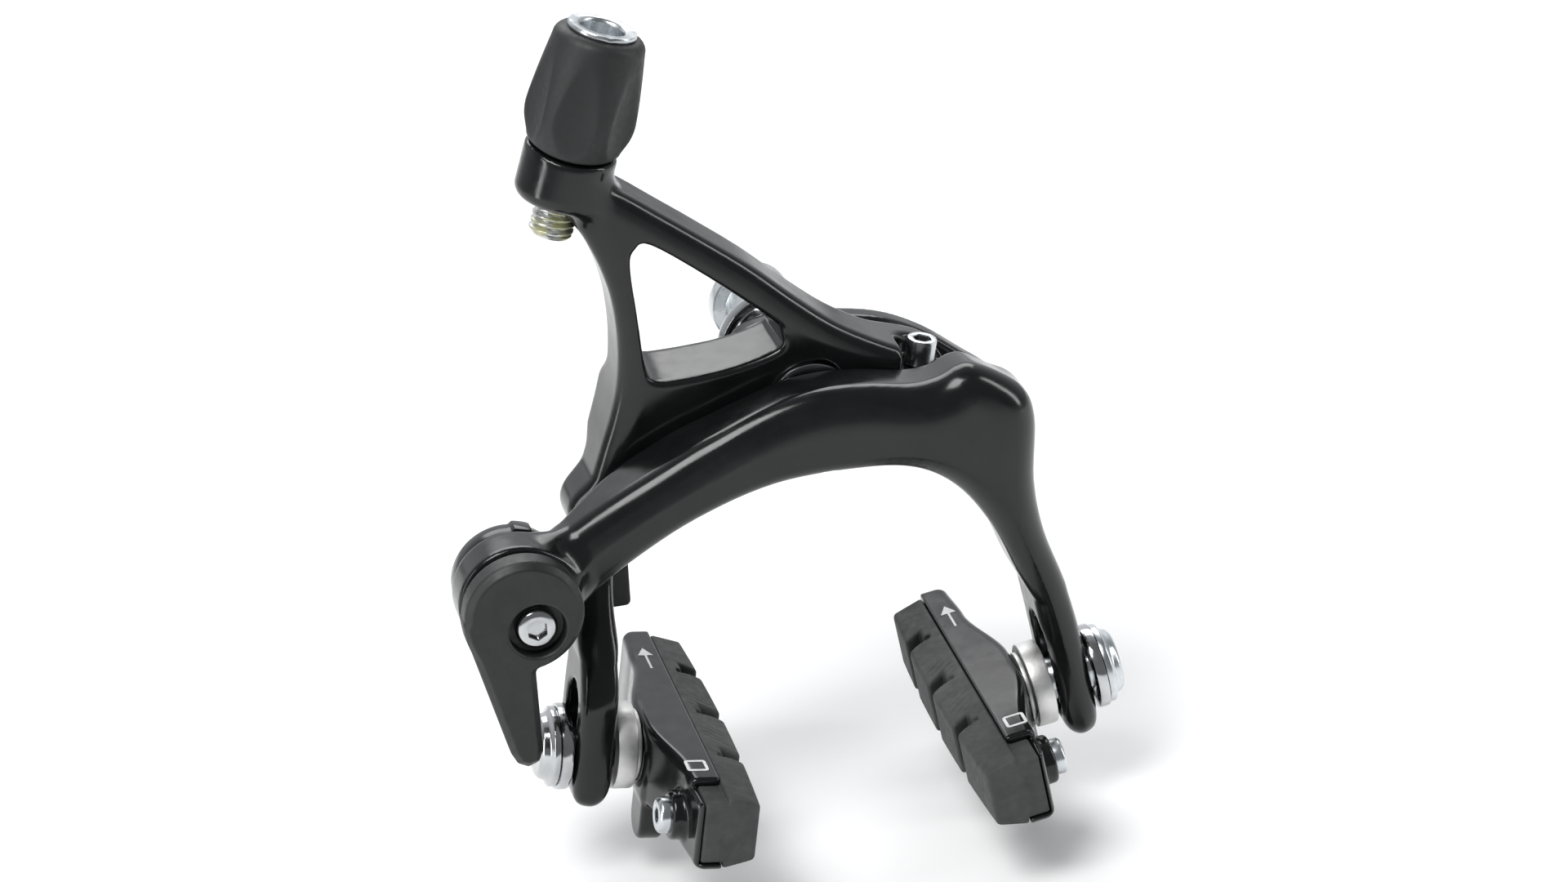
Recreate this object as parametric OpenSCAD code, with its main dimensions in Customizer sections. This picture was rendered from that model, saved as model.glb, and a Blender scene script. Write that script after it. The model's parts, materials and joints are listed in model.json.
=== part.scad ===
// Dual-pivot rim brake caliper for a rear wheel.
// Axes: X across the wheel, Y along the mounting bolt (towards the frame), Z up.
// The origin is on the mounting bolt's axis, in the face that seats on the frame.

/* [Arms] */
// Thickness of each forged arm along the bolt axis
arm_t = 10; // [8:0.5:12]
// Height of the front arm at its hub
hub_h = 12.4; // [10:0.2:16]
// Thickness of a leg across its pad slot
leg_t = 6.1; // [5:0.1:8]
// Width of a leg along the bolt axis
leg_w = 13; // [11:0.5:16]

/* [Reach] */
// Shortest reach, mounting bolt to pad bolt, brake open
reach_min = 38; // [35:1:45]
// Longest reach on the left leg, brake open
reach_max_left = 46.5; // [44:0.5:57]
// Longest reach on the right leg, brake open
reach_max_right = 48.5; // [44:0.5:57]
// Reach at which the left pad bolt is set
reach_left = 44.7; // [38:0.1:57]
// Reach at which the right pad bolt is set
reach_right = 45.8; // [38:0.1:57]
// Lean of each leg's slot with the brake open
leg_lean = 9; // [0:1:14]

/* [Mounting] */
// Mounting bolt thread diameter
bolt_d = 6; // [5:0.5:8]
// Length of bolt and nut behind the frame face
tail_l = 15; // [10:1:32]
// Sleeve nut shank diameter
sleeve_d = 8; // [7:0.5:10]

/* [Cable adjuster] */
// Lean of the adjuster towards the wheel's middle
adj_lean = 18; // [0:1:30]
// Length of the moulded grip
grip_l = 16; // [10:1:24]
// Largest diameter of the grip
grip_d = 15; // [10:0.5:18]
// Bore for the cable housing's ferrule
ferrule_d = 6.1; // [5:0.1:7]
// Bore for the inner cable
cable_bore_d = 2.2; // [1.8:0.1:3]

/* [Quick release] */
// Diameter of the lever's round head
qr_d = 16.4; // [12:0.2:20]
// Length of the lever below the head's centre
qr_l = 22.5; // [16:0.5:30]

/* [Pads] */
// Length of a brake pad
pad_l = 51; // [40:1:60]
// Height of a pad holder
holder_h = 11.2; // [8:0.2:14]
// Distance from a leg's middle to its pad's braking face
pad_out = 19.2; // [16:0.2:24]

/* [Part] */
// Sub-part to draw

/* [Hidden] */
$fn = 48;
fit = 0.05;
eps = 0.01;

// Layers along the bolt axis, frame face at zero and the front of the brake at about -39
washer_y = -3.2;
bridge_y = -7;
hub_back = -7.7;
ya_back = -10.7;
ya_front = ya_back - arm_t + 0.3;
ca_back = -21.4;
ca_front = ca_back - arm_t - 0.6;
leg_mid = -25;
leg_front = leg_mid - leg_w / 2;
leg_back = leg_mid + leg_w / 2;
ya_mid = (ya_back + ya_front) / 2;

// Pivots
side_x = 25;
side_z = -11;
qr_x = -44.2;
qr_z = -16.8;
pad_xl = -35;
pad_xr = 33.6;

// Adjuster boss
boss_x = -29.4;
boss_z = 39.6;
boss_r = 6.3;
boss_l = 7.6;
stem_r = 3;

// Return spring
spring_y = -5.1;
wire_r = 0.9;

// Bores
qr_shaft_r = 5;
bush_r = 4.1;
bush_front = -29.5;
thrust_r = 5.6;
grub_y = -28.2;
grub_r = 1.5;
grub_low = -12;

// Centering pin in the front arm
pin_x0 = 15;
pin_z0 = -6.4;
pin_r = 2;
pin_root = -27.5;

// Centering screw
cen_x = 16.9;
cen_z = 2;
cen_lean = 10;
cen_thread_r = 1.5;
cen_head_r = 2.05;

// Spring lug on the back of the rear arm
lug_x = -30.6;
lug_z = -12.6;
lug_r = 3.4;

// Mount washer, its teeth face the frame
mount_washer_r = 8.2;
tooth_root_r = 4.4;

arm_black = [0.06, 0.06, 0.07];
matt_black = [0.12, 0.12, 0.13];
chrome = [0.82, 0.83, 0.85];
zinc = [0.72, 0.74, 0.76];
rubber = [0.16, 0.17, 0.17];
bronze = [0.62, 0.48, 0.28];

// ---------- helpers ----------

// One point of a Catmull-Rom curve
function cr(a, b, c, d, t) =
    0.5 * ((2 * b) + (c - a) * t + (2 * a - 5 * b + 4 * c - d) * t * t
    + (3 * b - a - 3 * c + d) * t * t * t);

// Closed smooth outline through the points, n steps between neighbours
function smooth(p, n) = [
    for (i = [0:len(p) - 1])
        for (k = [0:n - 1])
            cr(p[(i + len(p) - 1) % len(p)], p[i], p[(i + 1) % len(p)],
                p[(i + 2) % len(p)], k / n)];

// Extrudes an X-Z outline from y_front to y_back
module slab(y_front, y_back) {
    translate([0, y_back, 0])
        rotate([90, 0, 0])
            linear_extrude(height = y_back - y_front)
                children();
}

// Slab with its two outer skins set in, so that its edges are stepped back
module soft_slab(y_front, y_back, skin, inset) {
    slab(y_front + skin, y_back - skin)
        children();
    slab(y_front, y_back)
        offset(delta = -inset)
            children();
}

// Cylinder along Y
module rod(r, y_front, y_back) {
    translate([0, y_back, 0])
        rotate([90, 0, 0])
            cylinder(h = y_back - y_front, r = r);
}

// Cylinder along X
module pin_x(r, x0, x1) {
    translate([x0, 0, 0])
        rotate([0, 90, 0])
            cylinder(h = x1 - x0, r = r);
}

// Hexagonal socket along +Z from z0 upwards, af across its flats
module hex_hole(af, z0, h) {
    translate([0, 0, z0])
        cylinder(h = h, r = af / sqrt(3), $fn = 6);
}

// Frame of the adjuster: +Z out of the boss, origin in its top face
module at_boss() {
    translate([boss_x, ya_mid, boss_z])
        rotate([0, adj_lean, 0])
            children();
}

// Frame of the centering screw: +Z out of the arm
module at_centering() {
    translate([cen_x, ya_mid, cen_z])
        rotate([0, cen_lean, 0])
            children();
}

// Frame of the left pad: +X towards the rim, +Z up the leg, origin on the pad bolt
module at_left_pad() {
    translate([pad_xl, leg_mid, -reach_left])
        rotate([0, leg_lean, 0])
            children();
}

// Frame of the right pad, a mirror image of the left one
module at_right_pad() {
    translate([pad_xr, leg_mid, -reach_right])
        mirror([1, 0, 0])
            rotate([0, leg_lean, 0])
                children();
}

// Slot along a leg for the pad bolt
module pad_slot(up, down) {
    slot_r = bolt_d / 2 + 0.25;
    translate([0, 0, up])
        pin_x(slot_r, -8, 8);
    translate([0, 0, -down])
        pin_x(slot_r, -8, 8);
    translate([-8, -slot_r, -down])
        cube([16, 2 * slot_r, up + down]);
}

// Flat seats for the washers on both faces of a leg
module pad_seats(up, down) {
    for (side = [-1, 1])
        translate([side * (leg_t / 2 + 3), 0, (up - down) / 2])
            cube([6, leg_w + 1, up + down + 13.4], center = true);
}

// ---------- front arm ----------

module c_arm_outline() {
    polygon(smooth([
        [-39.5, -11.4], [-35, -8.6], [-30, -5.8], [-23, -2.3], [-17, 0.8], [-11.5, 3.4],
        [-5.5, 5.4], [0, hub_h / 2], [6.5, 5.8], [12.5, 4.7], [16, 4.9], [18.6, 6],
        [21.2, 6.3], [25, 4.4], [28.2, 1], [29.6, -4], [29.2, -13], [30.3, -21], [32.9, -29],
        [35.1, -36.5], [36.6, -44], [37.5, -49.5], [36.8, -52.6], [34.4, -53.8], [32.2, -52],
        [31, -48], [30, -42.5], [28.6, -35.5], [26.4, -27.5], [22.8, -19], [18, -12.2],
        [12, -8.2], [4, -hub_h / 2 - 0.6], [-7.5, -7.2], [-18.5, -10.6], [-28, -15.6],
        [-34.5, -20], [-38.5, -22.6], [-41, -19], [-41, -14]], 6));
}

module c_arm_leg_side() {
    polygon([[ca_front, 20], [ca_back, 20], [ca_back, -20], [leg_back, -27],
        [leg_back, -58], [leg_front, -58], [leg_front, -27], [ca_front, -20]]);
}

module c_arm_body() {
    split_x = 23.9;
    intersection() {
        soft_slab(ca_front, ca_back, 1.2, 0.8)
            c_arm_outline();
        translate([0, 0, -30])
            linear_extrude(height = 60)
                polygon([[split_x, ca_front - 1], [split_x, ca_back + 1], [-24, ca_back + 1],
                    [-28, ca_back - 0.6], [-36, -26], [-60, -27], [-60, ca_front - 1]]);
    }
    intersection() {
        soft_slab(ca_front - 1, leg_back, 1.8, 0.7)
            c_arm_outline();
        translate([split_x, 0, 0])
            rotate([90, 0, 90])
                linear_extrude(height = 20)
                    c_arm_leg_side();
    }
}

module c_arm() {
    eye_back = -27.6;
    eye_front = -33.4;
    eye_r = 8.1;
    color(arm_black)
        difference() {
            union() {
                difference() {
                    c_arm_body();
                    translate([qr_x, 0, qr_z])
                        rod(eye_r + 1, eye_back, 0);
                    translate([qr_x, 0, qr_z])
                        rod(eye_r + 0.6, -40, eye_front);
                }
                translate([qr_x, 0, qr_z])
                    rod(eye_r, eye_front, eye_back);
            }
            translate([qr_x, 0, qr_z])
                rod(qr_shaft_r, -40, 0);
            rod(bush_r, bush_front - 0.1, 0);
            translate([pin_x0, 0, pin_z0])
                rod(pin_r, pin_root, 0);
            translate([0, grub_y, grub_low])
                cylinder(h = 9.5, r = grub_r);
            at_right_pad()
                pad_slot(reach_right - reach_min, reach_max_right - reach_right);
            at_right_pad()
                pad_seats(reach_right - reach_min, reach_max_right - reach_right);
        }
}

module centre_bush() {
    color(bronze)
        difference() {
            rod(bush_r, bush_front, ca_back);
            rod(bolt_d / 2 + fit, -30, 0);
            translate([0, grub_y, grub_low])
                cylinder(h = -grub_low, r = grub_r);
        }
}

module hub_washer() {
    color(chrome)
        difference() {
            rod(5.9, ca_back + 0.1, ya_front - 0.1);
            rod(bolt_d / 2 + fit, -30, 0);
        }
}

module hub_grub_screw() {
    color(zinc)
        translate([0, grub_y, 0])
            difference() {
                union() {
                    translate([0, 0, -6.4])
                        cylinder(h = 3.2, r = grub_r);
                    translate([0, 0, -3.4])
                        cylinder(h = 0.8, r = 0.7);
                }
                hex_hole(1.5, -7, 2);
            }
}

module centering_pin() {
    color(zinc)
        translate([pin_x0, 0, pin_z0])
            rod(pin_r, pin_root, ya_back - 1);
}

// ---------- rear arm ----------

module y_arm_outline() {
    polygon(smooth([
        [-29.5, 37.4], [-23.8, 34], [-17.8, 29.4], [-12.2, 25], [-6.6, 20.4], [-0.6, 14.8],
        [4.6, 10.4], [10, 7], [15, 4.4], [19.4, 2], [22.4, -2.6], [26.6, -4.9], [30, -7],
        [31.4, -11], [29.6, -15.4], [25, -17.2], [20.4, -15.2], [16.5, -12.6], [12, -10.8],
        [5, -9.8], [-5, -9.2], [-14, -10], [-20.5, -12], [-25, -15.4], [-27.8, -19.4],
        [-29.2, -25], [-29.8, -31], [-30.8, -38], [-31.7, -44], [-32.6, -49], [-35.4, -51.6],
        [-38.4, -50.2], [-38.8, -46], [-37.8, -41], [-36.7, -35], [-34.8, -27], [-33.2, -19],
        [-31.2, -10], [-29.2, -4], [-27.4, 1], [-26.1, 6], [-25.6, 12], [-26, 18],
        [-27.2, 23], [-29, 27.6], [-31.2, 32.4]], 6));
}

module y_window_outline() {
    polygon(smooth([
        [-22.9, 16], [-23.4, 23.4], [-22.6, 25.8], [-20.4, 26.1], [-12.6, 20], [-4.4, 12.6],
        [-3.3, 10.6], [-3.8, 8.2], [-10, 6.5], [-17.4, 5.9], [-21.2, 6.3], [-22.3, 8.6]], 5));
}

module y_leg_side() {
    polygon([[ya_front, 60], [ya_back, 60], [ya_back, 15], [hub_back, 9], [hub_back, -3],
        [ya_back, -6], [ya_back, -17], [leg_back, -27], [leg_back, -58], [leg_front, -58],
        [leg_front, -30], [ya_front, -22]]);
}

module y_arm_plate() {
    intersection() {
        slab(leg_front, hub_back)
            difference() {
                y_arm_outline();
                y_window_outline();
            }
        translate([-60, 0, 0])
            rotate([90, 0, 90])
                linear_extrude(height = 120)
                    y_leg_side();
    }
}

module y_arm() {
    swing_x = 1.3;
    swing_z = 2.55;
    way_r = bolt_d / 2 + 0.15;
    color(arm_black)
        difference() {
            union() {
                y_arm_plate();
                at_boss()
                    rotate_extrude()
                        polygon([[0, 0], [boss_r - 0.4, 0], [boss_r, -0.4], [boss_r, 2 - boss_l],
                            [boss_r - 0.6, 0.8 - boss_l], [boss_r - 1.8, -boss_l],
                            [0, -boss_l]]);
                translate([lug_x, 0, lug_z])
                    rod(lug_r, ya_back - 6, ya_back - 0.6);
            }
            at_boss()
                translate([0, 0, -14])
                    cylinder(h = 20, r = stem_r + fit);
            translate([side_x, 0, side_z])
                rod(bush_r, -30, 0);
            translate([side_x, 0, side_z])
                rod(thrust_r, -30, ya_front + 2.4);
            // way for the centre bolt as the arm swings
            slab(-30, 0)
                hull() {
                    circle(r = way_r);
                    translate([swing_x, swing_z])
                        circle(r = way_r);
                }
            // way for the centering pin
            translate([pin_x0, 0, pin_z0])
                rod(pin_r + 0.8, -30, 0);
            // centering screw and its round recess
            at_centering()
                translate([0, 0, -9])
                    cylinder(h = 20, r = cen_thread_r);
            at_centering()
                translate([0, 0, -1.4])
                    cylinder(h = 12, r = 1.5 * cen_head_r);
            at_left_pad()
                pad_slot(reach_left - reach_min, reach_max_left - reach_left);
            at_left_pad()
                pad_seats(reach_left - reach_min, reach_max_left - reach_left);
        }
}

module centering_screw() {
    color(zinc)
        at_centering()
            difference() {
                union() {
                    translate([0, 0, -1.2])
                        cylinder(h = 3.9, r = cen_head_r);
                    translate([0, 0, -6.4])
                        cylinder(h = 5.4, r = cen_thread_r);
                }
                hex_hole(2.3, 0.8, 4);
            }
}

module spring_shoe() {
    color(matt_black)
        difference() {
            translate([-32.4, -14.6, -30])
                cube([7, 7.8, 12]);
            translate([-31, -11, -28.6])
                cube([4.4, 3.2, 14]);
            y_arm_plate();
        }
}

// ---------- fixed parts ----------

module bridge_outline() {
    circle(r = 6.6);
    polygon(smooth([
        [0, 6.5], [7, 5.7], [14, 4.2], [20, 1.2], [25.4, -3], [29.8, -6.8], [31.4, -11],
        [29.6, -15.4], [25, -17.2], [20.4, -15.2], [15, -11.4], [8, -8.8], [0, -7.9],
        [-4, 0]], 6));
}

module bridge() {
    color(arm_black)
        difference() {
            soft_slab(bridge_y, washer_y, 0.8, 0.6)
                bridge_outline();
            rod(bolt_d / 2 + fit, -20, 0);
            translate([side_x, 0, side_z])
                rod(3 + fit, -20, 0);
            translate([-9, spring_y, -3.4])
                rotate([0, 70, 0])
                    cylinder(h = 6, r = wire_r);
        }
}

module centre_bolt() {
    color(zinc)
        difference() {
            union() {
                rod(bolt_d / 2, -29.2, 13);
                rod(4.6, bridge_y - 0.5, bridge_y);
            }
            difference() {
                rod(5, -29.1, -27.2);
                rod(2.3, -30, -27);
            }
        }
}

module mount_washer() {
    color(chrome)
        difference() {
            rod(mount_washer_r, -1.8, 0);
            rod(bolt_d / 2 + fit, -10, 5);
            for (a = [0:15:345])
                rotate([0, a, 0])
                    translate([tooth_root_r, -0.35, -0.3])
                        cube([4, 1, 0.6]);
        }
}

module frame_spacer() {
    color(chrome)
        difference() {
            translate([0, -1.8, 0])
                rotate([90, 0, 0])
                    rotate_extrude()
                        polygon([[0, 0], [7, 0], [7, 0.4], [5.8, -washer_y - 1.8],
                            [0, -washer_y - 1.8]]);
            rod(bolt_d / 2 + fit, -10, 5);
        }
}

module sleeve_nut() {
    color(zinc)
        difference() {
            union() {
                rod(sleeve_d / 2, 4, tail_l - 2);
                rod(5.9, tail_l - 2.6, tail_l);
            }
            rod(bolt_d / 2, 0, 13);
            translate([0, 13 - eps, 0])
                rotate([-90, 0, 0])
                    hex_hole(5, 0, 4);
        }
}

module side_pivot_bolt() {
    color(zinc)
        translate([side_x, 0, side_z])
            difference() {
                union() {
                    rod(5.2, ya_front + 0.2, ya_front + 2.2);
                    rod(3, ya_front + 2, -0.4);
                }
                translate([0, ya_front + 1.4, 0])
                    rotate([90, 0, 0])
                        hex_hole(4, 0, 3);
            }
}

module side_pivot_bush() {
    color(bronze)
        translate([side_x, 0, side_z])
            difference() {
                rod(bush_r, ya_front + 2.4, ya_back);
                rod(3 + fit, -30, 0);
            }
}

module side_thrust_washer() {
    color(bronze)
        translate([side_x, 0, side_z])
            difference() {
                rod(4.9, ya_back + 0.1, bridge_y);
                rod(3 + fit, -30, 0);
            }
}

module side_pivot_nut() {
    color(zinc)
        translate([side_x, 0, side_z])
            difference() {
                translate([0, -0.7, 0])
                    rotate([90, 0, 0])
                        cylinder(h = -washer_y - 0.7, r = 5 / cos(30), $fn = 6);
                rod(3, -10, 0);
            }
}

// A straight piece of spring wire from a to b, with a ball at its far bend
module wire(a, b) {
    d = b - a;
    translate(a)
        rotate([0, acos(d[2] / norm(d)), atan2(d[1], d[0])])
            cylinder(h = norm(d), r = wire_r);
    translate(b)
        sphere(r = wire_r + 0.04);
}

module return_spring() {
    root = [-9, spring_y, -3.4];
    p1 = [-21, spring_y, -8];
    p2 = [-26.8, -7.8, -12.6];
    p3 = [-27.7, -9.4, -16];
    p4 = [-27.7, -9.4, -27.4];
    color(zinc)
        union() {
            wire(root, p1);
            wire(p1, p2);
            wire(p2, p3);
            wire(p3, p4);
            translate(root)
                rotate([0, 70, 0])
                    cylinder(h = 5.4, r = wire_r - 0.02);
        }
}

// ---------- cable adjuster ----------

module detent_ring() {
    color(matt_black)
        at_boss()
            difference() {
                translate([0, 0, 0.1])
                    cylinder(h = 0.7, r = 4.6);
                translate([0, 0, -1])
                    cylinder(h = 4, r = stem_r + fit);
            }
}

module barrel_grip() {
    neck_r = 5.2;
    foot_r = 6;
    flutes = 6;
    color(matt_black)
        at_boss()
            difference() {
                translate([0, 0, 0.9])
                    rotate_extrude()
                        polygon([[0, 0], [foot_r - 0.6, 0], [foot_r, 0.6], [grip_d / 2, 4.6],
                            [grip_d / 2, 6.4], [neck_r + 0.5, grip_l - 1],
                            [neck_r - 0.2, grip_l], [0, grip_l]]);
                translate([0, 0, -1])
                    cylinder(h = 30, r = 3.2);
                translate([0, 0, 4])
                    cylinder(h = 30, r = 4.2);
                for (a = [0:360 / flutes:359])
                    rotate([0, 0, a + 20])
                        translate([grip_d / 2 + 10.2, 0, 0])
                            cylinder(h = 30, r = 11);
            }
}

module barrel_stem() {
    color(zinc)
        at_boss()
            difference() {
                union() {
                    translate([0, 0, -12.2])
                        cylinder(h = 17.6, r = stem_r);
                    translate([0, 0, 4])
                        cylinder(h = grip_l - 3, r = 4.2);
                    translate([0, 0, grip_l + 0.9])
                        cylinder(h = 0.7, r = 4.6);
                }
                translate([0, 0, -20])
                    cylinder(h = 40, r = cable_bore_d / 2);
                translate([0, 0, 7])
                    cylinder(h = 20, r = ferrule_d / 2);
            }
}

// ---------- quick release ----------

module at_qr() {
    translate([qr_x, 0, qr_z])
        children();
}

// The anchor screw sits off the lever's axis, so that turning it pays out cable
module at_anchor() {
    translate([qr_x + 1.5, 0, qr_z - 2.1])
        children();
}

module qr_lever_outline() {
    r = qr_d / 2;
    circle(r = r);
    polygon([[-r, 0], [-r * 0.97, -2.4], [-3.3, 1.8 - qr_l], [-2.4, 0.2 - qr_l],
        [-1.1, -qr_l - 0.5], [0.5, 0.1 - qr_l], [1.1, 1.7 - qr_l], [1, -7.8], [4, -4]]);
}

module qr_lever() {
    head_front = -38.4;
    head_back = -33.8;
    color(matt_black)
        difference() {
            union() {
                at_qr()
                    soft_slab(head_front, head_back, 0.9, 0.7)
                        qr_lever_outline();
                at_qr()
                    rod(qr_shaft_r - fit, head_back - 1, -27.3);
            }
            at_anchor()
                rod(3.9, -40, -36.2);
            at_anchor()
                rod(2.05, -40, 0);
        }
}

module clamp_plate() {
    color(arm_black)
        difference() {
            union() {
                at_qr()
                    rod(7.6, -27.2, -24.4);
                translate([qr_x + 0.6, -26.6, qr_z + 6.6])
                    cube([3, 1.8, 1.7]);
            }
            at_anchor()
                rod(2.05, -40, 0);
        }
}

module anchor_screw() {
    color(chrome)
        at_anchor()
            difference() {
                union() {
                    rod(2, -36.4, -22);
                    rod(2.9, -38, -36.2);
                }
                translate([0, -36.6, 0])
                    rotate([90, 0, 0])
                        hex_hole(3, 0, 3);
            }
}

module anchor_nut() {
    color(zinc)
        at_anchor()
            difference() {
                translate([0, -21.8, 0])
                    rotate([90, 0, 0])
                        cylinder(h = 2.6, r = 3.5 / cos(30), $fn = 6);
                rod(2, -40, 0);
            }
}

// ---------- pad set, in the frame of its bolt ----------

module pad_bolt() {
    face = -leg_t / 2 - 1.7;
    color(chrome)
        difference() {
            union() {
                pin_x(bolt_d / 2, face, 9.6);
                translate([face, 0, 0])
                    rotate([0, -90, 0])
                        rotate_extrude()
                            polygon([[0, 0], [5.6, 0], [5.6, 0.9], [4.7, 1.4], [4.4, 2.2],
                                [3.9, 2.6], [0, 2.6]]);
            }
            translate([face - 0.6, 0, 0])
                rotate([0, -90, 0])
                    hex_hole(4, 0, 4);
        }
}

module outer_washer() {
    color(chrome)
        difference() {
            pin_x(6, -leg_t / 2 - 1.65, -leg_t / 2 - 0.05);
            pin_x(bolt_d / 2 + 0.1, -12, 12);
        }
}

module cup_washer() {
    color(zinc)
        difference() {
            pin_x(6.05, leg_t / 2 + 0.05, leg_t / 2 + 2.9);
            pin_x(bolt_d / 2 + 0.6, -12, 12);
            translate([leg_t / 2 + 1.5 + 9, 0, 0])
                sphere(r = 9, $fn = 64);
        }
}

module dome_washer() {
    color(zinc)
        difference() {
            intersection() {
                translate([leg_t / 2 + 1.55 + 9, 0, 0])
                    sphere(r = 9, $fn = 64);
                pin_x(5, leg_t / 2 + 1.2, leg_t / 2 + 3.6);
            }
            pin_x(bolt_d / 2 + 0.1, -12, 12);
        }
}

module pad_holder() {
    back = 9.2;
    edge = 13.7;
    color(arm_black)
        difference() {
            union() {
                translate([back, -pad_l / 2, -holder_h / 2 - 0.6])
                    cube([edge - back, pad_l, holder_h]);
                translate([0, 0, holder_h / 2 - 0.6])
                    mirror([0, 0, 1])
                        linear_extrude(height = holder_h)
                            polygon(smooth([[leg_t / 2 + 3.7, -5], [back, -15], [back + 1, -19],
                                [back + 1, 19], [back, 15], [leg_t / 2 + 3.7, 5]], 4));
                // round lug under the middle
                translate([leg_t / 2 + 4, -3, 0])
                    hull() {
                        translate([0, 0, -9.6])
                            rotate([0, 90, 0])
                                cylinder(h = 3.4, r = 3, $fn = 32);
                        translate([0, 0, -4])
                            rotate([0, 90, 0])
                                cylinder(h = 3.4, r = 4, $fn = 32);
                    }
                // boss of the retaining screw
                translate([0, -pad_l / 2 + 8, -1.6])
                    pin_x(3.4, back - 0.9, back + 1);
            }
            pin_x(bolt_d / 2, 0, 9.6 + eps);
            pin_x(5.05, 0, leg_t / 2 + 3.6);
            // channel for the rubber, open at the near end
            translate([back + 1.4, -pad_l / 2 - 1, -holder_h / 2 + 0.4])
                cube([edge, pad_l - 0.4, holder_h - 2]);
            translate([0, -pad_l / 2 + 8, -1.6])
                pin_x(1.5, 0, 20);
        }
}

module brake_pad() {
    root = 11.35;
    neck = 13.8;
    low = -holder_h / 2 - 0.6;
    high = holder_h / 2 - 0.6;
    notch = [-12.2, 0.4, 13];
    color(rubber)
        difference() {
            translate([0, pad_l / 2 - 1.4, 0])
                rotate([90, 0, 0])
                    linear_extrude(height = pad_l - 0.9)
                        polygon([[root, low + 1.2], [root, high - 1.2], [neck, high - 1.2],
                            [neck, high - 0.2], [pad_out, high - 1.9], [pad_out, low + 1.7],
                            [neck, low + 0.2], [neck, low + 1.2]]);
            for (y = notch)
                translate([pad_out - 2.2, y, -10])
                    cube([5, 1.7, 20]);
            // slanted ends
            translate([pad_out - 2.6, -pad_l / 2 - 0.6, -10])
                rotate([0, 0, -30])
                    translate([-4, -8, 0])
                        cube([16, 8, 20]);
            translate([pad_out - 3.4, pad_l / 2 - 0.6, -10])
                rotate([0, 0, 40])
                    cube([12, 8, 20]);
            translate([0, -pad_l / 2 + 8, -1.6])
                pin_x(1.5, 9, 13.4);
        }
}

module retaining_screw() {
    color(zinc)
        translate([0, -pad_l / 2 + 8, -1.6])
            difference() {
                union() {
                    pin_x(2.5, 6.2, 8.3);
                    pin_x(1.5, 8.2, 13.3);
                }
                translate([7.4, 0, 0])
                    rotate([0, -90, 0])
                        hex_hole(2, 0, 2);
            }
}

module left_pad_bolt() {
    at_left_pad()
        pad_bolt();
}

module left_outer_washer() {
    at_left_pad()
        outer_washer();
}

module left_cup_washer() {
    at_left_pad()
        cup_washer();
}

module left_dome_washer() {
    at_left_pad()
        dome_washer();
}

module left_pad_holder() {
    at_left_pad()
        pad_holder();
}

module left_brake_pad() {
    at_left_pad()
        brake_pad();
}

module left_retaining_screw() {
    at_left_pad()
        retaining_screw();
}

module right_pad_bolt() {
    at_right_pad()
        pad_bolt();
}

module right_outer_washer() {
    at_right_pad()
        outer_washer();
}

module right_cup_washer() {
    at_right_pad()
        cup_washer();
}

module right_dome_washer() {
    at_right_pad()
        dome_washer();
}

module right_pad_holder() {
    at_right_pad()
        pad_holder();
}

module right_brake_pad() {
    at_right_pad()
        brake_pad();
}

module right_retaining_screw() {
    at_right_pad()
        retaining_screw();
}

// ---------- assembly ----------

c_arm();
y_arm();
bridge();
centre_bolt();
sleeve_nut();
mount_washer();
frame_spacer();
hub_washer();
centre_bush();
hub_grub_screw();
side_pivot_bolt();
side_pivot_bush();
side_thrust_washer();
side_pivot_nut();
return_spring();
spring_shoe();
centering_screw();
centering_pin();
detent_ring();
barrel_grip();
barrel_stem();
qr_lever();
clamp_plate();
anchor_screw();
anchor_nut();
left_pad_bolt();
left_outer_washer();
left_cup_washer();
left_dome_washer();
left_pad_holder();
left_brake_pad();
left_retaining_screw();
right_pad_bolt();
right_outer_washer();
right_cup_washer();
right_dome_washer();
right_pad_holder();
right_brake_pad();
right_retaining_screw();
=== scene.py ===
import json
import math

import bmesh
import bpy
import numpy as np
from mathutils import Matrix, Vector


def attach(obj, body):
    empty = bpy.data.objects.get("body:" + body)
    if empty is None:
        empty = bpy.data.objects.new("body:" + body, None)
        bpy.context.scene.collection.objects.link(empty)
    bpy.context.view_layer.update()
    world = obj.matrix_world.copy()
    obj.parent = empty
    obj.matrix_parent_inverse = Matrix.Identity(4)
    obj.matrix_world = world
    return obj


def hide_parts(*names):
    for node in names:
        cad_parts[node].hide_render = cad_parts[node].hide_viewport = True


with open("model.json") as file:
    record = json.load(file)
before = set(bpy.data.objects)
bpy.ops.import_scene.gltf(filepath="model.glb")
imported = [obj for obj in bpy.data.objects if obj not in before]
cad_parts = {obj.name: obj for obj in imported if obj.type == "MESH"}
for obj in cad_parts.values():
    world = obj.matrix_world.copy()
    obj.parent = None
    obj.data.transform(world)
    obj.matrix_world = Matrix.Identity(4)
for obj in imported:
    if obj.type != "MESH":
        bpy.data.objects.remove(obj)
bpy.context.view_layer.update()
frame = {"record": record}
record = frame["record"]
body_of_node = {n: b for b, nodes in record["behaviour"]["bodies"].items() for n in nodes}

# ---------- driving sizes, in millimetres; X across the wheel, Y to the frame, Z up ----------

MM = 0.001
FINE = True
ARM_STEP = 0.36 if FINE else 0.7
PART_STEP = 0.2 if FINE else 0.45

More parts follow.
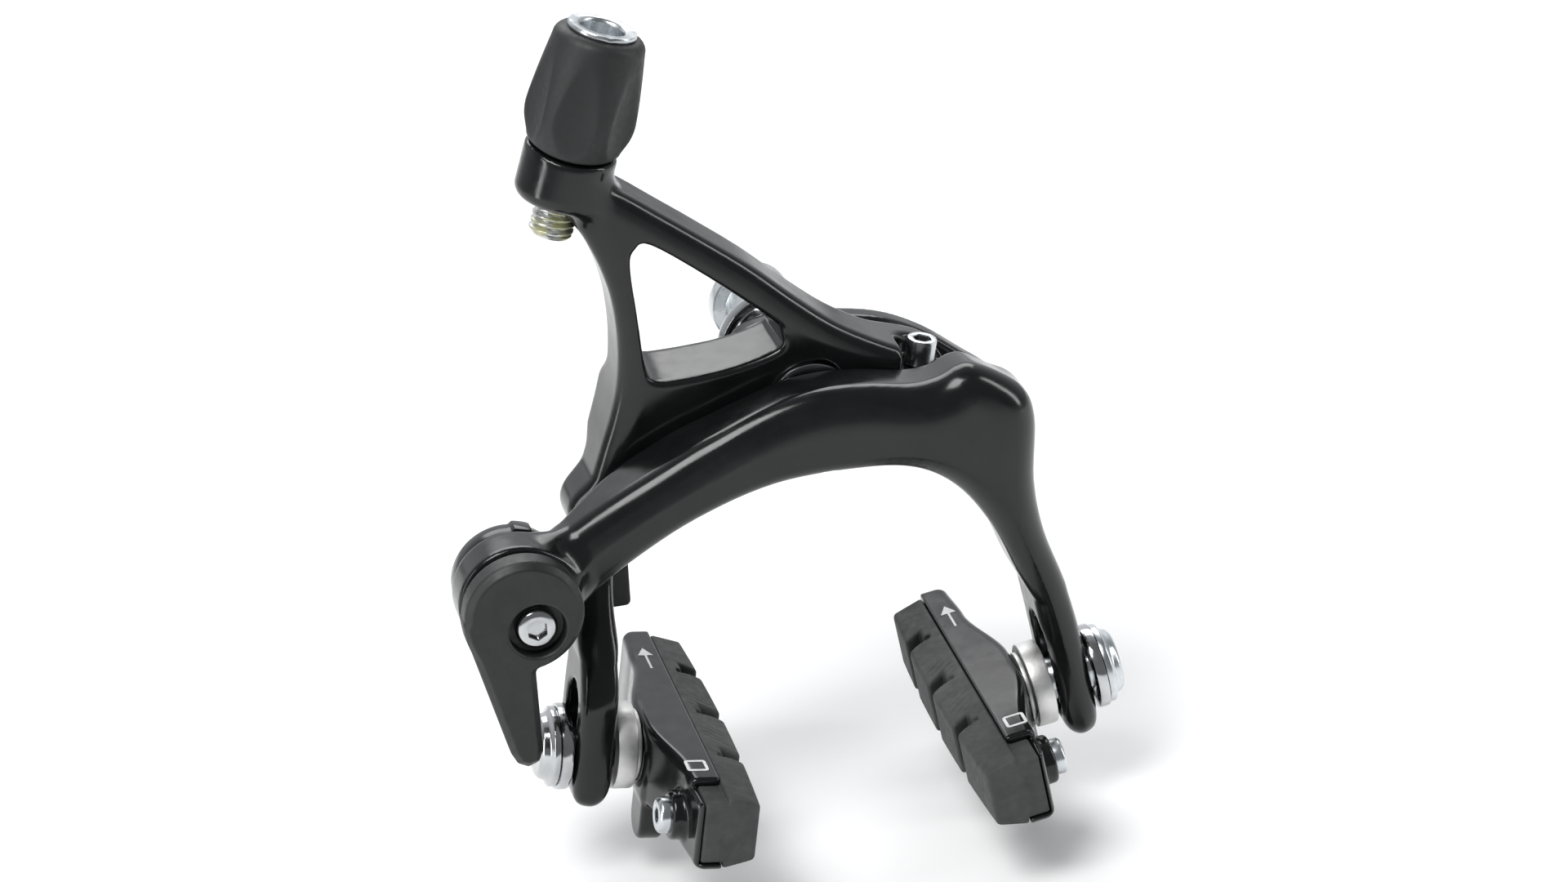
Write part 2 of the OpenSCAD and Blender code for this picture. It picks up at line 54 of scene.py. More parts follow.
ARM_FRONT, ARM_BACK = -32.0, -21.4
REAR_FRONT, REAR_BACK = -20.4, -10.7
HUB_BACK = -7.7
BRIDGE_FRONT, BRIDGE_BACK = -7.0, -3.2
LEG_MID, LEG_WIDE, LEG_THICK = -25.0, 13.0, 6.1
LEG_FRONT, LEG_BACK = LEG_MID - LEG_WIDE / 2, LEG_MID + LEG_WIDE / 2
LEAN = math.radians(9)
REACH_MIN = 38.0
LEFT_PAD = (-35.0, 44.7, 46.5)
RIGHT_PAD = (33.6, 45.8, 48.5)
BOLT_R = 3.0
BORE_R = 3.05
BUSH_R, BUSH_FRONT = 4.1, -29.5
THRUST_R = 5.6
SIDE = (25.0, -11.0)
SWING = (1.3, 2.55)  # how far the rear arm moves past the mounting bolt
GRUB_Y, GRUB_R = -28.2, 1.5
LUG, LUG_R = (-30.6, -12.6), 3.4

QR = (-44.2, -16.8)
QR_R, QR_SHAFT_R = 8.2, 5.0
LEVER_FRONT, LEVER_BACK = -38.4, -33.8
EYE_R, EYE_FRONT, EYE_BACK = 8.1, -33.4, -27.6
ANCHOR = (QR[0] + 1.5, QR[1] - 2.1)
ANCHOR_R, ANCHOR_HEAD_R = 2.0, 2.9

BOSS = (-29.4, (REAR_FRONT + REAR_BACK) / 2, 39.6)
BOSS_LEAN = math.radians(18)
BOSS_R, BOSS_LONG = 6.3, 7.6
RIM_WAVE, RIM_PHASE = 0.3, 0.6

PIN, PIN_R, PIN_ROOT = (15.0, -6.4), 2.0, -27.5
CENTRING = (16.9, BOSS[1], 2.0)
CENTRING_LEAN = math.radians(10)
CENTRING_R, CENTRING_HEAD_R = 1.5, 2.05

PAD_LONG, HOLDER_HIGH, PAD_OUT = 51.0, 11.2, 19.2
HOLDER_TOP, HOLDER_LOW = HOLDER_HIGH / 2 - 0.6, -HOLDER_HIGH / 2 - 0.6
RETAINER_IN, RETAINER_Z, RETAINER_R = 8.0, -1.6, 1.5
GRIP_LONG, GRIP_R = 16.0, 7.5

FRONT_ARM = [
    (-39.5, -11.4), (-35, -8.6), (-30, -5.8), (-23, -2.3), (-17, 0.8), (-11.5, 3.4),
    (-5.5, 5.4), (0, 6.2), (6.5, 5.8), (12.5, 4.7), (16, 4.9), (18.6, 6),
    (21.2, 6.3), (25, 4.4), (28.2, 1), (29.6, -4), (29.2, -13), (30.3, -21), (32.9, -29),
    (35.1, -36.5), (36.6, -44), (37.5, -49.5), (36.8, -52.6), (34.4, -53.8), (32.2, -52),
    (31, -48), (30, -42.5), (28.6, -35.5), (26.4, -27.5), (22.8, -19), (18, -12.2),
    (12, -8.2), (4, -6.8), (-7.5, -7.2), (-18.5, -10.6), (-28, -15.6),
    (-34.5, -20), (-38.5, -22.6), (-41, -19), (-41, -14)]
REAR_ARM = [
    (-29.5, 37.4), (-23.8, 34), (-17.8, 29.4), (-12.2, 25), (-6.6, 20.4), (-0.6, 14.8),
    (4.6, 10.4), (10, 7), (15, 4.4), (19.4, 2), (22.4, -2.6), (26.6, -4.9), (30, -7),
    (31.4, -11), (29.6, -15.4), (25, -17.2), (20.4, -15.2), (16.5, -12.6), (12, -10.8),
    (5, -9.8), (-5, -9.2), (-14, -10), (-20.5, -12), (-25, -15.4), (-27.8, -19.4),
    (-29.2, -25), (-29.8, -31), (-30.8, -38), (-31.7, -44), (-32.6, -49), (-35.4, -51.6),
    (-38.4, -50.2), (-38.8, -46), (-37.8, -41), (-36.7, -35), (-34.8, -27), (-33.2, -19),
    (-31.2, -10), (-29.2, -4), (-27.4, 1), (-26.1, 6), (-25.6, 12), (-26, 18),
    (-27.2, 23), (-29, 27.6), (-31.2, 32.4)]
WINDOW = [
    (-22.9, 16), (-23.4, 23.4), (-22.6, 25.8), (-20.4, 26.1), (-12.6, 20), (-4.4, 12.6),
    (-3.3, 10.6), (-3.8, 8.2), (-10, 6.5), (-17.4, 5.9), (-21.2, 6.3), (-22.3, 8.6)]
BRIDGE = [
    (0, 6.5), (7, 5.7), (14, 4.2), (20, 1.2), (25.4, -3), (29.8, -6.8), (31.4, -11),
    (29.6, -15.4), (25, -17.2), (20.4, -15.2), (15, -11.4), (8, -8.8), (0, -7.9), (-7, -4), (-7, 4)]


# ---------- distance fields ----------

def smooth_point(a, b, c, d, t):
    """A point of the Catmull-Rom curve between b and c."""
    return 0.5 * (2 * b + (c - a) * t + (2 * a - 5 * b + 4 * c - d) * t ** 2
                  + (3 * b - a - 3 * c + d) * t ** 3)


def curve(points, steps=6):
    """Closed smooth outline through the points."""
    p = np.array(points, float)
    a, b, c, d = np.roll(p, 1, 0), p, np.roll(p, -1, 0), np.roll(p, -2, 0)
    rows = [smooth_point(a, b, c, d, t) for t in np.arange(steps) / steps]
    return np.stack(rows, 1).reshape(-1, 2)


def outline(points, u, v):
    """Signed distance to a closed outline, below zero inside."""
    best = np.full(np.broadcast(u, v).shape, 1e9, np.float32)
    inside = np.zeros(best.shape, bool)
    for a, b in zip(points, np.roll(points, -1, 0)):
        du, dv = b - a
        t = np.clip(((u - a[0]) * du + (v - a[1]) * dv) / (du * du + dv * dv), 0, 1)
        best = np.minimum(best, (u - a[0] - t * du) ** 2 + (v - a[1] - t * dv) ** 2)
        if dv:
            crosses = (a[1] > v) != (b[1] > v)
            inside ^= crosses & (u < a[0] + (v - a[1]) * du / dv)
    return np.where(inside, -1, 1) * np.sqrt(best)


def meet(a, b, r=0.3):
    """Intersection of two fields with its edge rounded to r."""
    return np.minimum(np.maximum(a, b), -r) + np.hypot(np.maximum(a + r, 0), np.maximum(b + r, 0))


def join(a, b, r=0.5):
    """Union of two fields with a fillet of r."""
    return -meet(-a, -b, r)


def bite(a, b, r=0.3):
    """a with b cut away, its edge rounded to r."""
    return meet(a, -b, r)


def bevel(a, b, c):
    """Intersection of two fields with a flat bevel of c."""
    return np.maximum(np.maximum(a, b), (a + b + c) * 0.7071)


def ramp(v, a, b):
    """Smooth step from 0 at a to 1 at b."""
    t = np.clip((v - a) / (b - a), 0, 1)
    return t * t * (3 - 2 * t)


def between(v, a, b):
    return np.maximum(a - v, v - b)


def leg_frame(x, z, pad, side):
    """Offset across a leg towards the rim, and height along it from its pad bolt."""
    dx, dz = (x - pad[0]) * side, z + pad[1]
    return dx * math.cos(LEAN) - dz * math.sin(LEAN), dx * math.sin(LEAN) + dz * math.cos(LEAN)


def leg_cuts(d, x, y, z, pad, side):
    """The pad bolt's slot and the flat washer seats of one leg."""
    across, up = leg_frame(x, z, pad, side)
    top, low = pad[1] - REACH_MIN, pad[1] - pad[2]
    mid, half = (top + low) / 2, (top - low) / 2
    along = np.maximum(np.abs(up - mid) - half, 0)
    limit = LEG_THICK / 2 + 0.5 * np.maximum(up - top - 7, 0)
    seats = np.maximum(np.maximum(limit - np.abs(across), up - 30), np.abs(across) - 14)
    d = bite(d, seats, 1.6)
    return bite(d, np.hypot(y - LEG_MID, along) - BOLT_R - 0.25, 0.45)


def front_arm(x, y, z):
    edge = outline(curve(FRONT_ARM), x, z)
    fade = 1 - ramp(np.where(x > 0, x - 7, -x), 14, 26)
    slope = (0.12 + 0.1 * ramp(x, 18, 26)) * ramp(z, -2, 3) * fade
    edge = edge + slope * (y - ARM_FRONT)
    leg = ramp(-z, 17, 28) * ramp(x, 19, 25)
    front = ARM_FRONT + (LEG_FRONT - ARM_FRONT) * leg + (1.3 - 0.8 * leg) * ramp(edge, -6.5, 1.0)
    back = ARM_BACK + (LEG_BACK - ARM_BACK) * leg - 6.2 * ramp(-x, 25, 44)
    blunt = 2.2 + 1.4 * ramp(x, 2, 24)
    d = meet(meet(edge, front - y, blunt), y - back, 0.9)
    eye = np.hypot(x - QR[0], z - QR[1])
    d = bite(d, np.maximum(eye - EYE_R - 1, EYE_BACK - y), 1.0)
    d = join(d, meet(eye - EYE_R, between(y, EYE_FRONT, EYE_BACK), 0.6), 3.6)
    d = bite(d, eye - QR_SHAFT_R - 0.05, 0.2)
    d = bite(d, np.maximum(np.hypot(x, z) - BUSH_R, BUSH_FRONT - 0.1 - y), 0.3)
    d = bite(d, np.maximum(np.hypot(x - PIN[0], z - PIN[1]) - PIN_R, PIN_ROOT - y), 0.2)
    grub_way = np.maximum(np.hypot(x, y - GRUB_Y) - GRUB_R - 0.05, between(z, -12, -2.5))
    d = bite(d, grub_way, 0.3)
    return leg_cuts(d, x, y, z, RIGHT_PAD, -1)


def boss_frame(x, y, z):
    """The same point in the adjuster boss: across it, back and along its axis."""
    dx, dz = x - BOSS[0], z - BOSS[2]
    along = dx * math.sin(BOSS_LEAN) + dz * math.cos(BOSS_LEAN)
    across = dx * math.cos(BOSS_LEAN) - dz * math.sin(BOSS_LEAN)
    return across, y - BOSS[1], along


def rear_arm(x, y, z):
    edge = outline(curve(REAR_ARM), x, z)
    leg = ramp(-z, 19, 37) * ramp(-x, 20, 26)
    front = REAR_FRONT + (LEG_FRONT - REAR_FRONT) * leg + 0.6 * ramp(edge, -3.4, 0.4)
    hub = ramp(z, -6, -3) * (1 - ramp(z, 3, 7.5)) * ramp(x, -34, -26)
    back = REAR_BACK + (LEG_BACK - REAR_BACK) * ramp(-z, 17, 27) + (HUB_BACK - REAR_BACK) * hub
    d = meet(meet(edge, front - y, 1.5), y - back, 1.4)
    hole = outline(curve(WINDOW, 5), x, z) + 0.06 * np.clip(y - REAR_FRONT, 0, 14)
    d = bite(d, hole, 0.7)
    a, b, up = boss_frame(x, y, z)
    radius = np.hypot(a, b)
    rim = up - RIM_WAVE * np.cos(2 * np.arctan2(b, a) + RIM_PHASE)
    boss = meet(meet(radius - BOSS_R, rim, 0.5), -BOSS_LONG - up, 1.8)
    d = join(d, boss, 1.8)
    lug = np.hypot(x - LUG[0], z - LUG[1]) - LUG_R
    lug = meet(lug, between(y, REAR_FRONT + 1.2, REAR_BACK - 0.6), 1.5)
    d = join(d, lug, 2.4)
    d = bite(d, radius - BORE_R, 0.25)
    side = np.hypot(x - SIDE[0], z - SIDE[1])
    d = bite(d, side - BUSH_R, 0.2)
    d = bite(d, np.maximum(side - THRUST_R, y - REAR_FRONT - 2.4), 0.3)
    t = np.clip((x * SWING[0] + z * SWING[1]) / (SWING[0] ** 2 + SWING[1] ** 2), 0, 1)
    d = bite(d, np.hypot(x - SWING[0] * t, z - SWING[1] * t) - BOLT_R - 0.15, 0.15)
    d = bite(d, np.hypot(x - PIN[0], z - PIN[1]) - PIN_R - 0.8, 0.3)
    cx, cz = x - CENTRING[0], z - CENTRING[2]
    rise = cx * math.sin(CENTRING_LEAN) + cz * math.cos(CENTRING_LEAN)
    beside = cx * math.cos(CENTRING_LEAN) - cz * math.sin(CENTRING_LEAN)
    off = np.hypot(beside, y - CENTRING[1])
    d = bite(d, np.maximum(off - CENTRING_R - 0.05, -9 - rise), 0.1)
    pocket = np.hypot(beside, np.maximum(y - CENTRING[1], 0)) - 3.7
    d = bite(d, np.maximum(pocket, -1.2 - rise), 0.7)
    return leg_cuts(d, x, y, z, LEFT_PAD, 1)


def bridge(x, y, z):
    from_hub = np.hypot(x, z)
    edge = np.minimum(outline(curve(BRIDGE), x, z), from_hub - 6.6)
    d = meet(edge, between(y, BRIDGE_FRONT, BRIDGE_BACK), 0.9)
    d = bite(d, from_hub - BORE_R - 0.01, 0.2)
    return bite(d, np.hypot(x - SIDE[0], z - SIDE[1]) - BORE_R - 0.01, 0.2)


def lever(x, y, z):
    u, v = x - QR[0], z - QR[1]
    tail = [(-8.2, 0), (-8.0, -2.5), (-3.4, -20.4), (-2.6, -22), (-1.1, -22.8), (0.5, -22.1),
            (1.15, -20.5), (1.0, -7.8), (4, -4), (5, 0)]
    edge = join(np.hypot(u, v) - QR_R, outline(np.array(tail, float), u, v), 0.6)
    d = bevel(edge, between(y, LEVER_FRONT, LEVER_BACK), 1.0)
    d = meet(d, edge, 0.25)
    shank = np.maximum(np.hypot(u, v) - QR_SHAFT_R + 0.05, between(y, LEVER_BACK - 1, EYE_BACK + 0.3))
    d = join(d, shank, 0.3)
    hole = np.hypot(x - ANCHOR[0], z - ANCHOR[1])
    d = bite(d, np.maximum(hole - ANCHOR_HEAD_R - 1, y - LEVER_FRONT - 2.2), 0.35)
    return bite(d, hole - ANCHOR_R - 0.05, 0.1)


def shoe(x, y, z):
    """The spring's plastic shoe, a block with a groove that is open at the top."""
    d = meet(meet(between(x, -32.4, -25.4), between(y, -14.6, -6.8), 0.8), between(z, -30, -18), 0.8)
    groove = np.maximum(np.maximum(between(x, -31, -26.6), between(y, -11, -7.8)), between(z, -28.6, -14))
    return bite(d, groove, 0.3)


def holder(x, y, z):
    """One pad holder, in the frame of its bolt: X towards the rim, Y along the pad."""
    top, low = HOLDER_TOP, HOLDER_LOW
    half = PAD_LONG / 2
    far = np.abs(y)
    reach = 6.75 + 2.7 * ramp(far, 3.0, 17.0) + 0.5 * ramp(far, 17, 25)
    outer = meet((reach - x) * 0.95, between(y, -half, half), 1.5)
    d = meet(meet(outer, z - top, 1.2), low - z, 1.2)
    d = meet(d, x - 13.7, 0.2)
    lug = np.where(z > -9.6, np.abs(y + 3), np.hypot(y + 3, z + 9.6)) - 3.1
    lug = meet(meet(lug, between(x, 7.05, 10.5), 0.7), z - 1, 0.3)
    d = join(d, lug, 1.0)
    retainer = np.hypot(y + half - RETAINER_IN, z - RETAINER_Z)
    d = join(d, meet(retainer - 3.4, between(x, 7.6, 10.4), 0.6), 0.7)
    d = bite(d, np.maximum(y + half - 5.6, top - 1.2 - z), 0.5)
    channel = np.maximum(10.6 - x, between(z, low + 1.0, top - 1.0))
    channel = np.maximum(channel, between(y, -half - 2, half - 1.4))
    lips = np.maximum(13.0 - x, between(z, low + 1.7, top - 1.7))
    d = bite(d, np.minimum(channel, lips), 0.25)
    bolt = np.hypot(y, z)
    d = bite(d, np.maximum(bolt - 5.05, x - LEG_THICK / 2 - 3.6), 0.2)
    d = bite(d, np.maximum(bolt - BORE_R, x - 9.6), 0.2)
    return bite(d, retainer - RETAINER_R - 0.05, 0.15)


def rubber(x, y, z):
    """One brake pad, in the frame of its bolt."""
    top, low = HOLDER_TOP, HOLDER_LOW
    half = PAD_LONG / 2
    root = meet(between(x, 10.75, 14.2), between(z, low + 1.15, top - 1.15), 0.3)
    draft = (x - 13.8) * 0.28
    face = PAD_OUT - 0.004 * (y * 0.6) ** 2
    sides = between(z, low + 0.2 + draft, top - 0.2 - draft)
    d = np.minimum(root, meet(meet(between(x, 13.8, 30), x - face, 0.3), sides, 0.5))
    hatch = np.sin((y + 0.6 * x) * 5.2) * ramp(-np.abs(np.abs(y + 1.1) - 4.9), -3.0, -2.4) * ramp(x, 14.6, 15)
    block_rise = 0.1 * np.maximum(hatch, 0) * ramp(-x, -18.2, -17.8) * ramp(z, 2, 2.5)
    d = meet(d + block_rise, between(y, -half + 0.35, half - 1.4), 0.4)
    near = (x - PAD_OUT + 2.6) * 0.5 - (y + half - 0.6) * 0.866
    far = (x - PAD_OUT + 3.4) * 0.643 + (y - half + 0.6) * 0.766 - 1.2
    d = meet(meet(d, near - 1.0, 0.5), far, 0.5)
    for at in (-12.2, 0.4, 13):
        slant = (x - PAD_OUT) * 0.45
        notch = np.maximum(between(y + slant, at - 0.2, at + 1.9), PAD_OUT - 2.8 - x)
        d = bite(d, notch, 0.6)
        seam = np.maximum(between(y, at + 0.3, at + 1.2), top - 0.75 - draft - z)
        d = bite(d, np.maximum(seam, 15.4 - x), 0.15)
    retainer = np.hypot(y + half - RETAINER_IN, z - RETAINER_Z)
    return bite(d, retainer - RETAINER_R + 3 * np.maximum(x - 13.4, 0), 0.1)


# ---------- meshes ----------

def sample(grid, p):
    """Values of a grid between its points, p in grid steps."""
    top = np.array(grid.shape) - 2
    i = np.clip(np.floor(p).astype(int), 0, top)
    f = p - i
    out = 0
    for corner in np.ndindex(2, 2, 2):
        c = np.array(corner)
        weight = np.prod(np.where(c, f, 1 - f), 1)
        j = i + c
        out = out + weight * grid[j[:, 0], j[:, 1], j[:, 2]]
    return out


def net(field, low, high, step):
    """Vertices in millimetres and quads of a field's zero surface."""
    axes = [np.arange(a - 2 * step, b + 3 * step, step, dtype=np.float32) for a, b in zip(low, high)]
    x, y, z = axes[0][:, None, None], axes[1][None, :, None], axes[2][None, None, :]
    grid = np.broadcast_to(field(x, y, z), [len(a) for a in axes]).astype(np.float32)
    solid = grid < 0
    cells = tuple(n - 1 for n in grid.shape)
    count = np.zeros(cells, np.int8)
    corners = list(np.ndindex(2, 2, 2))
    for c in corners:
        count += solid[tuple(slice(o, o + n) for o, n in zip(c, cells))]
    where = np.argwhere((count > 0) & (count < 8))
    number = np.full(cells, -1, np.int64)
    number[tuple(where.T)] = np.arange(len(where))
    total, hits = np.zeros((len(where), 3)), np.zeros(len(where))
    for a in corners:
        for axis in range(3):
            if a[axis]:
                continue
            b = tuple(v + (k == axis) for k, v in enumerate(a))
            va = grid[tuple((where + a).T)]
            vb = grid[tuple((where + b).T)]
            on = (va < 0) != (vb < 0)
            t = np.where(on, va / np.where(on, va - vb, 1), 0)
            point = np.array(a) + t[:, None] * (np.array(b) - np.array(a))
            total += point * on[:, None]
            hits += on
    p = where + total / hits[:, None]
    for _ in range(3):
        value = sample(grid, p)
        slope = np.stack([sample(grid, p + h) - sample(grid, p - h) for h in np.eye(3) * 0.5], 1)
        size = np.maximum((slope ** 2).sum(1), 1e-4 * step ** 2)
        p = p - np.clip(value / size, -0.6 / step, 0.6 / step)[:, None] * slope * 0.8
        p = np.clip(p, where - 0.3, where + 1.3)
    quads = []
    for axis in range(3):
        u, v = [k for k in range(3) if k != axis]
        low_side = np.take(solid, range(grid.shape[axis] - 1), axis)
        high_side = np.take(solid, range(1, grid.shape[axis]), axis)
        for flip, change in ((False, low_side & ~high_side), (True, ~low_side & high_side)):
            at = np.argwhere(change)
            ring = []
            for du, dv in ((0, 0), (-1, 0), (-1, -1), (0, -1)):
                cell = at.copy()
                cell[:, u] += du
                cell[:, v] += dv
                ring.append(number[tuple(cell.T)])
            ring = np.stack(ring, 1)
            quads.append(ring[:, ::-1] if flip == (axis != 1) else ring)
    origin = np.array([a[0] for a in axes])
    return origin + p * step, np.concatenate(quads)


def show(name, verts, faces, place=Matrix(), sharp=None):
    """An object from vertices in millimetres, put in place, with smooth faces."""
    mesh = bpy.data.meshes.new(name)
    flip = place.determinant() < 0
    turned = np.array(place.to_3x3()) @ np.asarray(verts, float).T
    points = (turned.T + np.array(place.translation)) * MM
    faces = [tuple(reversed(f)) if flip else tuple(f) for f in np.asarray(faces).tolist()]
    mesh.from_pydata(points.tolist(), [], faces)
    obj = bpy.data.objects.new(name, mesh)
    bpy.context.scene.collection.objects.link(obj)
    bm = bmesh.new()
    bm.from_mesh(mesh)
    if sharp is not None:
        bmesh.ops.remove_doubles(bm, verts=bm.verts, dist=1e-6)
        bmesh.ops.dissolve_degenerate(bm, edges=bm.edges, dist=1e-7)
        bmesh.ops.recalc_face_normals(bm, faces=bm.faces)
    for face in bm.faces:
        face.smooth = True
    if sharp is not None:
        for edge in bm.edges:
            if len(edge.link_faces) == 2:
                edge.smooth = edge.calc_face_angle(0) < math.radians(sharp)
    bm.to_mesh(mesh)
    bm.free()
    return obj


def solid(name, field, low, high, step, place=Matrix()):
    verts, faces = net(field, low, high, step)
    return show(name, verts, faces, place)


def profile(points):
    """Rows of radius, height and whether the point is hexagonal."""
    return np.array([(q + (0,))[:3] for q in points], float)


def soften(points, r):
    """A closed profile with each corner off the axis rounded to about r."""
    p = profile(points)
    out = []
    for before, here, after in zip(np.roll(p, 1, 0), p, np.roll(p, -1, 0)):
        a, b = before - here, after - here
        la, lb = np.linalg.norm(a[:2]), np.linalg.norm(b[:2])
        if here[0] < 0.01 or min(la, lb) < 1e-6:
            out.append(here)
            continue
        start, end = here + a * min(r / la, 0.4), here + b * min(r / lb, 0.4)
        out += [start, (start + 2 * here + end) / 4, end]
    return np.array(out)


def turn(name, points, place, r=0.25, steps=96, shape=None, sharp=40):
    """Turns a closed profile of (radius, height) about Z. A third value of 1 makes a point hexagonal."""
    p = soften(points, r) if r else profile(points)
    angle = np.arange(steps) * 2 * math.pi / steps
    hexed = 1 / np.cos((angle + math.pi / 6) % (math.pi / 3) - math.pi / 6)
    radius = p[:, :1] * (1 + p[:, 2:3] * (hexed[None, :] - 1))
    height = np.repeat(p[:, 1:2], steps, 1)
    if shape:
        radius, height = shape(radius, height, np.broadcast_to(angle, radius.shape))
    verts = np.stack([radius * np.cos(angle), radius * np.sin(angle), height], 2).reshape(-1, 3)
    faces = []
    for i in range(len(p)):
        k = (i + 1) % len(p)
        if p[i, 0] < 0.01 and p[k, 0] < 0.01:
            continue
        for j in range(steps):
            m = (j + 1) % steps
            faces.append((i * steps + j, i * steps + m, k * steps + m, k * steps + j))
    obj = show(name, verts, faces, place, sharp)
    # the faces inside a hexagonal socket get the dark painted shade
    socket = p[p[:, 2] == 1]
    if len(socket) and socket[:, 0].max() * 1.15 < p[:, 0].max():
        shade_socket(obj, place, socket)
    return obj


def shade_socket(obj, place, socket):
    """Marks the faces inside a hexagonal socket for a second material, a dark painted shade."""
    back = place.inverted()
    low, high = socket[:, 1].min() - 0.05, socket[:, 1].max() + 0.02
    for face in obj.data.polygons:
        at = back @ (face.center / MM)
        if math.hypot(at.x, at.y) < socket[:, 0].max() * 1.13 and low < at.z < high:
            face.material_index = 1


def thread(root, crest, pitch, start, end):
    """A shape for turn: a screw thread between two heights."""
    def shape(radius, height, angle):
        on = (height > start) & (height < end) & (radius > root - 0.4)
        wave = np.abs((height / pitch - angle / (2 * math.pi)) % 1 - 0.5) * 2
        fade = ramp(height, start, start + 0.6) * (1 - ramp(height, end - 0.5, end))
        depth = np.clip(wave * 1.7 - 0.2, 0, 1)
        return np.where(on, root + (crest - root) * (1 - fade + fade * depth), radius), height
    return shape


def tube(name, points, r, steps=16):
    """A wire of radius r along a smooth path, with round ends."""
    p = np.array(points, float)
    p = np.vstack([2 * p[0] - p[1], p, 2 * p[-1] - p[-2]])
    path = []
    for i in range(1, len(p) - 2):
        a, b, c, d = p[i - 1:i + 3]
        path += [smooth_point(a, b, c, d, t) for t in np.arange(0, 1, 0.1)]
    path = np.array(path + [p[-2]])
    tangent = np.gradient(path, axis=0)
    tangent /= np.linalg.norm(tangent, axis=1)[:, None]
    side = np.cross(tangent, (0.0, 1.0, 0.05))
    side /= np.linalg.norm(side, axis=1)[:, None]
    up = np.cross(side, tangent)

    def cap(end, way):
        """Shrinking rings that round off one end, from the full ring outwards."""
        for s in np.linspace(0, 0.95, 4):
            yield path[end] + tangent[end] * way * s * r, side[end], up[end], r * math.sqrt(1 - s * s)

    body = [(path[i], side[i], up[i], r) for i in range(1, len(path) - 1)]
    angle = np.arange(steps) * 2 * math.pi / steps
    verts = []
    for at, s, u, size in list(cap(0, -1))[::-1] + body + list(cap(-1, 1)):
        verts += [at + size * (math.cos(t) * s + math.sin(t) * u) for t in angle]
    count = len(verts) // steps
    faces = []
    for i, j in np.ndindex(count - 1, steps):
        k = (j + 1) % steps
        faces.append((i * steps + j, i * steps + k, (i + 1) * steps + k, (i + 1) * steps + j))
    faces.append(tuple(range(steps))[::-1])
    faces.append(tuple(range((count - 1) * steps, count * steps)))
    mesh = bpy.data.meshes.new(name)
    mesh.from_pydata([tuple(v * MM) for v in verts], [], faces)
    for face in mesh.polygons:
        face.use_smooth = True
    obj = bpy.data.objects.new(name, mesh)
    bpy.context.scene.collection.objects.link(obj)
    return obj


def along_y(x, z):
    """Places a turned piece with its axis along Y; its heights are then Y."""
    return Matrix.Translation((x, 0, z)) @ Matrix.Rotation(-math.pi / 2, 4, "X")


def pad_place(pad, mirrored):
    """The frame of a pad bolt: X towards the rim, Y along the pad, Z up the leg."""
    place = Matrix.Translation((pad[0], LEG_MID, -pad[1]))
    if mirrored:
        place = place @ Matrix.Diagonal((-1, 1, 1, 1))
    return place @ Matrix.Rotation(LEAN, 4, "Y")


def along_x(place):
    """Places a turned piece with its axis along the X of a frame."""
    return place @ Matrix.Rotation(math.pi / 2, 4, "Y")


# ---------- materials ----------

class Nodes:
    """Short calls for building one material."""

    def __init__(self, name):
        self.material = bpy.data.materials.new(name)
        self.material.use_nodes = True
        self.tree = self.material.node_tree
        self.shader = self.tree.nodes["Principled BSDF"]
        self.place = self.add("ShaderNodeTexCoord").outputs["Object"]

    def add(self, kind):
        return self.tree.nodes.new(kind)

    def link(self, a, b):
        self.tree.links.new(a, b)

    def noise(self, scale, detail=4.0):
        node = self.add("ShaderNodeTexNoise")
        node.inputs["Scale"].default_value = scale
        node.inputs["Detail"].default_value = detail
        node.inputs["Roughness"].default_value = 0.55
        self.link(self.place, node.inputs["Vector"])
        return node.outputs["Fac"]

    def colours(self, fac, stops):
        node = self.add("ShaderNodeValToRGB")
        for element, (at, colour) in zip(node.color_ramp.elements, stops):
            element.position = at
            element.color = (*colour, 1)
        self.link(fac, node.inputs["Fac"])
        self.link(node.outputs["Color"], self.shader.inputs["Base Color"])

    def spread(self, fac, low, high, to, start=0.3, end=0.7):
        node = self.add("ShaderNodeMapRange")
        node.inputs["From Min"].default_value = start
        node.inputs["From Max"].default_value = end
        node.inputs["To Min"].default_value = low
        node.inputs["To Max"].default_value = high
        self.link(fac, node.inputs["Value"])
        self.link(node.outputs["Result"], self.shader.inputs[to])

    def bump(self, height, strength, depth, before=None):
        node = self.add("ShaderNodeBump")
        node.inputs["Strength"].default_value = strength
        node.inputs["Distance"].default_value = depth
        self.link(height, node.inputs["Height"])
        if before:
            self.link(before, node.inputs["Normal"])
        self.link(node.outputs["Normal"], self.shader.inputs["Normal"])
        return node.outputs["Normal"]

    def set(self, **values):
        for key, value in values.items():
            self.shader.inputs[key.replace("_", " ")].default_value = value


def gloss_paint():
    """Black stove paint over a forging: a hard clear gloss with slight orange peel."""
    m = Nodes("gloss_paint")
    m.colours(m.noise(140), [(0.3, (0.004, 0.0045, 0.0047)), (0.7, (0.0075, 0.0082, 0.0084))])
    m.spread(m.noise(420, 6), 0.13, 0.22, "Roughness")
    peel = m.bump(m.noise(260, 2), 0.05, 0.0002)
    m.bump(m.noise(2600, 2), 0.03, 0.00003, peel)
    m.set(Specular_IOR_Level=0.42)
    return m.material


def matt_paint():
    """Dead matt black coating of the lever."""
    m = Nodes("matt_paint")
    m.colours(m.noise(200), [(0.3, (0.006, 0.0068, 0.0066)), (0.7, (0.011, 0.012, 0.0115))])
    m.spread(m.noise(900, 5), 0.42, 0.55, "Roughness")
    m.bump(m.noise(3800, 3), 0.12, 0.00005)
    return m.material


